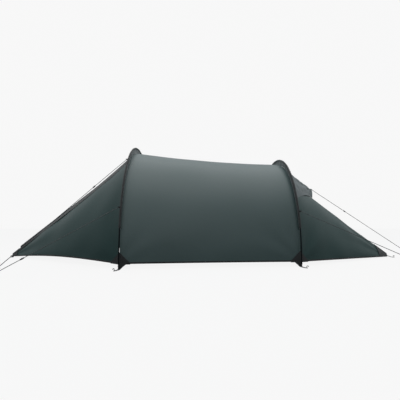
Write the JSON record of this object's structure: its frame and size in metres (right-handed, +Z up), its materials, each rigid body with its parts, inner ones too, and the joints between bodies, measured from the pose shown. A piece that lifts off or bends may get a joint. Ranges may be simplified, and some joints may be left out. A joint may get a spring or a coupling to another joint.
{
  "type": "tunnel tent",
  "caption": "Tunnel tent with hoop poles in outside sleeves, pegged zip porch, hooded rear vent, guylines and a hung inner tent.",
  "frame": {"origin": "on the ground under the middle of the tent, between the ends of the tip pegs", "axes": "+X from the porch to the rear end, +Y to the far side, +Z up"},
  "size_m": [3.9678, 1.9984, 1.0461],
  "materials": {
    "fly": "coated ripstop, dull sheen",
    "dark_cloth": "woven nylon webbing and cloth",
    "mesh": "fine insect mesh",
    "pole": "dark anodised",
    "plastic": "moulded, matt",
    "peg": "bare, brushed",
    "cord": "braided cord",
    "inner": "thin uncoated nylon",
    "groundsheet": "coated, smooth"
  },
  "bodies": {
    "tent": {"fly_tunnel": "fly", "foot_patch_front_far": "dark_cloth", "foot_patch_front_near": "dark_cloth", "foot_patch_rear_far": "dark_cloth", "foot_patch_rear_near": "dark_cloth", "foot_peg_front_far": "peg", "foot_peg_front_near": "peg", "foot_peg_rear_far": "peg", "foot_peg_rear_near": "peg", "foot_webbing_front_far": "dark_cloth", "foot_webbing_front_near": "dark_cloth", "foot_webbing_rear_far": "dark_cloth", "foot_webbing_rear_near": "dark_cloth", "groundsheet_tub": "groundsheet", "guy_front_side_far": "cord", "guy_front_side_near": "cord", "guy_front_upper_far": "cord", "guy_front_upper_near": "cord", "guy_peg_front_far": "peg", "guy_peg_front_near": "peg", "guy_peg_rear_centre": "peg", "guy_peg_rear_far": "peg", "guy_peg_rear_near": "peg", "guy_rear_hood": "cord", "guy_rear_side_far": "cord", "guy_rear_side_near": "cord", "inner_canopy": "inner", "inner_door": "inner", "pole_front": "pole", "pole_rear": "pole", "pole_sleeve_front": "dark_cloth", "pole_sleeve_rear": "dark_cloth", "pole_tip_front_far": "peg", "pole_tip_front_near": "peg", "pole_tip_rear_far": "peg", "pole_tip_rear_near": "peg", "porch_door_near": "fly", "porch_wall_far": "fly", "porch_zip_tape": "dark_cloth", "rear_panel_far": "fly", "rear_panel_near": "fly", "storm_flap": "dark_cloth", "tip_patch_front": "dark_cloth", "tip_patch_rear": "dark_cloth", "tip_peg_front": "peg", "tip_peg_rear": "peg", "tip_webbing_front": "dark_cloth", "tip_webbing_rear": "dark_cloth", "vent_hood": "fly", "vent_mesh": "mesh"},
    "porch_zip_slider": {"porch_zip_slider": "plastic"},
    "porch_zip_puller": {"porch_zip_puller": "plastic"},
    "inner_door_slider": {"inner_door_slider": "plastic"},
    "adjuster_front_upper_near": {"adjuster_front_upper_near": "plastic"},
    "adjuster_front_side_near": {"adjuster_front_side_near": "plastic"},
    "adjuster_rear_side_near": {"adjuster_rear_side_near": "plastic"},
    "adjuster_front_upper_far": {"adjuster_front_upper_far": "plastic"},
    "adjuster_front_side_far": {"adjuster_front_side_far": "plastic"},
    "adjuster_rear_side_far": {"adjuster_rear_side_far": "plastic"},
    "adjuster_rear_hood": {"adjuster_rear_hood": "plastic"}
  },
  "joints": [
    {"name": "porch_zip_slide", "type": "slide", "parent": "tent", "child": "porch_zip_slider", "axis": [0.7895, 0, 0.6138], "range_m": [0, 1.391], "deforming": ["porch_door_near"]},
    {"name": "porch_zip_puller_swing", "type": "hinge", "parent": "porch_zip_slider", "child": "porch_zip_puller", "pos_m": [-1.7576, 0, 0.11398], "axis": [0, 1, 0], "range_deg": [0, 30]},
    {"name": "inner_zip_slide", "type": "slide", "parent": "tent", "child": "inner_door_slider", "axis": [0, 0, -1], "range_m": [0, 0.68], "deforming": ["inner_door"]},
    {"name": "adjuster_front_upper_near_slide", "type": "slide", "parent": "tent", "child": "adjuster_front_upper_near", "axis": [-0.5513, -0.4663, -0.6919], "range_m": [-0.1, 0.358]},
    {"name": "adjuster_front_side_near_slide", "type": "slide", "parent": "tent", "child": "adjuster_front_side_near", "axis": [-0.7696, -0.3932, -0.5031], "range_m": [-0.25, 0.153]},
    {"name": "adjuster_rear_side_near_slide", "type": "slide", "parent": "tent", "child": "adjuster_rear_side_near", "axis": [0.8512, -0.2843, -0.4411], "range_m": [-0.25, 0.169]},
    {"name": "adjuster_front_upper_far_slide", "type": "slide", "parent": "tent", "child": "adjuster_front_upper_far", "axis": [-0.5513, 0.4663, -0.6919], "range_m": [-0.1, 0.358]},
    {"name": "adjuster_front_side_far_slide", "type": "slide", "parent": "tent", "child": "adjuster_front_side_far", "axis": [-0.7696, 0.3932, -0.5031], "range_m": [-0.25, 0.153]},
    {"name": "adjuster_rear_side_far_slide", "type": "slide", "parent": "tent", "child": "adjuster_rear_side_far", "axis": [0.8512, 0.2843, -0.4411], "range_m": [-0.25, 0.169]},
    {"name": "adjuster_rear_hood_slide", "type": "slide", "parent": "tent", "child": "adjuster_rear_hood", "axis": [0.8357, 0, -0.5492], "range_m": [-0.1, 0.358]}
  ]
}
